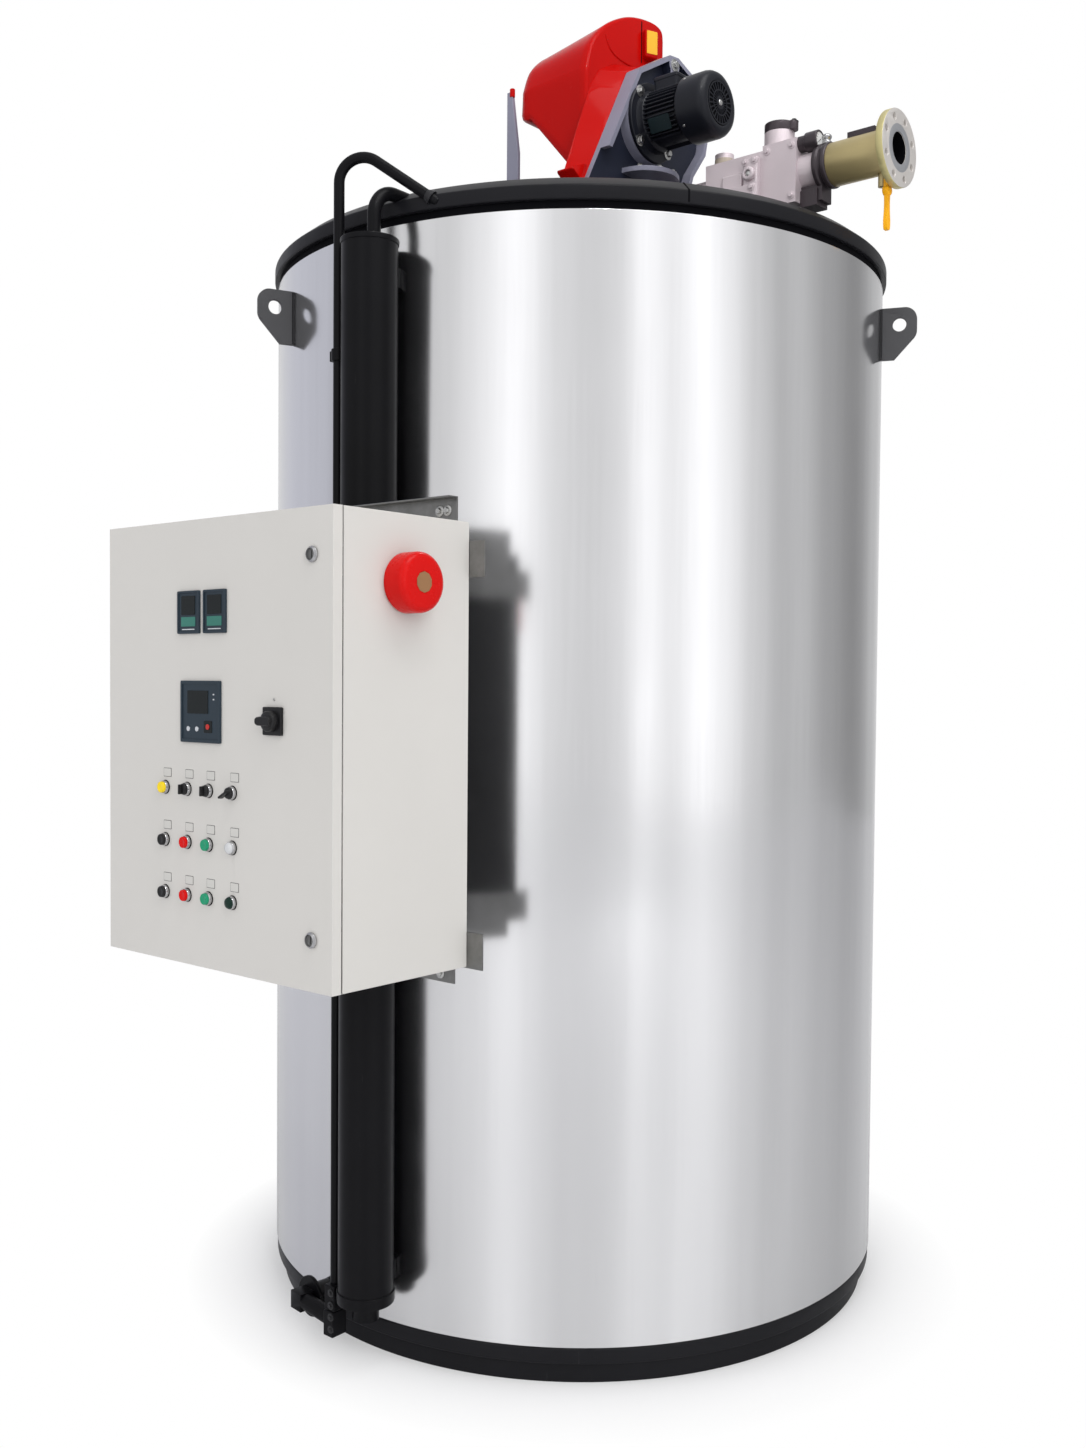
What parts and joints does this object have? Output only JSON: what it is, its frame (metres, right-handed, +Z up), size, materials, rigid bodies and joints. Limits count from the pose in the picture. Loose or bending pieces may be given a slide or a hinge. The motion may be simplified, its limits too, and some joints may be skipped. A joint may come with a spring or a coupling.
{
  "type": "industrial boiler",
  "caption": "Upright top-fired thermal-oil boiler with round stainless casing, burner and gas train on its lid, header pipe and a control cabinet with an opening door.",
  "frame": {"origin": "on the boiler's axis, at the bottom face that rests on the floor", "axes": "+Z up, -Y out through the cabinet door, +X along the gas train towards its flange"},
  "size_m": [1.9925, 2.4582, 3.7553],
  "materials": {
    "stainless_sheet": "bright rolled stainless sheet",
    "black_paint": "semi-gloss",
    "cabinet_paint": "fine textured powder coat",
    "galvanised": "zinc coated",
    "red_gloss": "gloss",
    "burner_grey": "satin cast",
    "motor_black": "satin",
    "cast_aluminium": "sand cast",
    "yellow_zinc": "yellow passivated",
    "flange_steel": "turned",
    "dark_iron": "dark",
    "chrome_trim": "polished",
    "black_plastic": "matt",
    "instrument_case": "matt",
    "red_plastic": "gloss",
    "green_plastic": "gloss",
    "yellow_plastic": "gloss",
    "lamp_lens": "clear"
  },
  "bodies": {
    "root": {"plinth_ring": "black_paint", "base_ring": "black_paint", "floor_plate": "black_paint", "casing": "stainless_sheet", "top_band": "black_paint", "top_ring": "black_paint", "top_plate": "black_paint", "front_lug": "black_paint", "right_lug": "black_paint", "back_lug": "black_paint", "header_pipe": "black_paint", "header_brackets": "black_paint", "riser_pipe": "black_paint", "vent_pipe": "black_paint", "drain_stub": "black_paint", "drain_pipe": "black_paint", "riser_foot_flanges": "black_paint", "cabinet_rails": "galvanised", "cabinet_arms": "galvanised", "cabinet_body": "cabinet_paint", "mounting_plate": "galvanised", "hinge_leaves": "galvanised", "siren": "red_plastic", "burner_neck": "burner_grey", "fan_casting": "burner_grey", "red_side_band": "red_gloss", "burner_hood": "red_gloss", "burner_post": "galvanised", "motor_body": "motor_black", "motor_cowl": "motor_black", "gas_flange": "flange_steel", "gas_sleeve": "yellow_zinc", "gas_nipple": "dark_iron", "gas_block": "cast_aluminium", "gas_boss_cap": "dark_iron", "gas_inlet_pipe": "cast_aluminium", "gas_cock": "yellow_zinc", "flue_outlet": "black_paint", "process_flanges": "black_paint"},
    "door": {"door_panel": "cabinet_paint", "door_hinges": "galvanised", "door_locks": "chrome_trim", "temperature_controllers": "instrument_case", "burner_controller": "instrument_case", "main_switch_plate": "black_plastic", "button_bezels": "chrome_trim", "signal_lamps": "lamp_lens"},
    "main_switch_knob": {"main_switch_knob": "black_plastic"},
    "left_selector": {"left_selector": "black_plastic"},
    "middle_selector": {"middle_selector": "black_plastic"},
    "right_selector": {"right_selector": "black_plastic"},
    "gas_lever": {"gas_lever": "yellow_plastic"},
    "yellow_button": {"yellow_button": "yellow_plastic"},
    "upper_black_button": {"upper_black_button": "black_plastic"},
    "upper_red_button": {"upper_red_button": "red_plastic"},
    "upper_green_button": {"upper_green_button": "green_plastic"},
    "lower_black_button": {"lower_black_button": "black_plastic"},
    "lower_red_button": {"lower_red_button": "red_plastic"},
    "lower_green_button": {"lower_green_button": "green_plastic"}
  },
  "joints": [
    {"name": "door_hinge", "type": "hinge", "parent": "root", "child": "door", "pos_m": [-0.2715, -1.42747, 1.593], "axis": [0, 0, -1], "range_deg": [0, 120]},
    {"name": "main_switch_turn", "type": "hinge", "parent": "door", "child": "main_switch_knob", "pos_m": [0.3525, -1.45397, 1.65], "axis": [0, 1, 0], "range_deg": [0, 90]},
    {"name": "left_selector_turn", "type": "hinge", "parent": "door", "child": "left_selector", "pos_m": [0.0465, -1.45397, 1.49], "axis": [0, 1, 0], "range_deg": [-45, 45]},
    {"name": "middle_selector_turn", "type": "hinge", "parent": "door", "child": "middle_selector", "pos_m": [0.1255, -1.45397, 1.49], "axis": [0, 1, 0], "range_deg": [-45, 45]},
    {"name": "right_selector_turn", "type": "hinge", "parent": "door", "child": "right_selector", "pos_m": [0.2105, -1.45397, 1.49], "axis": [0, 1, 0], "range_deg": [-45, 45]},
    {"name": "yellow_button_press", "type": "slide", "parent": "door", "child": "yellow_button", "axis": [0, 1, 0], "range_m": [0, 0.004], "stiffness_N_per_m": 500, "springref_m": -0.003},
    {"name": "upper_black_button_press", "type": "slide", "parent": "door", "child": "upper_black_button", "axis": [0, 1, 0], "range_m": [0, 0.004], "stiffness_N_per_m": 500, "springref_m": -0.003},
    {"name": "upper_red_button_press", "type": "slide", "parent": "door", "child": "upper_red_button", "axis": [0, 1, 0], "range_m": [0, 0.004], "stiffness_N_per_m": 500, "springref_m": -0.003},
    {"name": "upper_green_button_press", "type": "slide", "parent": "door", "child": "upper_green_button", "axis": [0, 1, 0], "range_m": [0, 0.004], "stiffness_N_per_m": 500, "springref_m": -0.003},
    {"name": "lower_black_button_press", "type": "slide", "parent": "door", "child": "lower_black_button", "axis": [0, 1, 0], "range_m": [0, 0.004], "stiffness_N_per_m": 500, "springref_m": -0.003},
    {"name": "lower_red_button_press", "type": "slide", "parent": "door", "child": "lower_red_button", "axis": [0, 1, 0], "range_m": [0, 0.004], "stiffness_N_per_m": 500, "springref_m": -0.003},
    {"name": "lower_green_button_press", "type": "slide", "parent": "door", "child": "lower_green_button", "axis": [0, 1, 0], "range_m": [0, 0.004], "stiffness_N_per_m": 500, "springref_m": -0.003},
    {"name": "gas_lever_turn", "type": "hinge", "parent": "root", "child": "gas_lever", "pos_m": [0.9693, 0.09, 3.06985], "axis": [-1, 0, 0], "range_deg": [0, 90]}
  ]
}
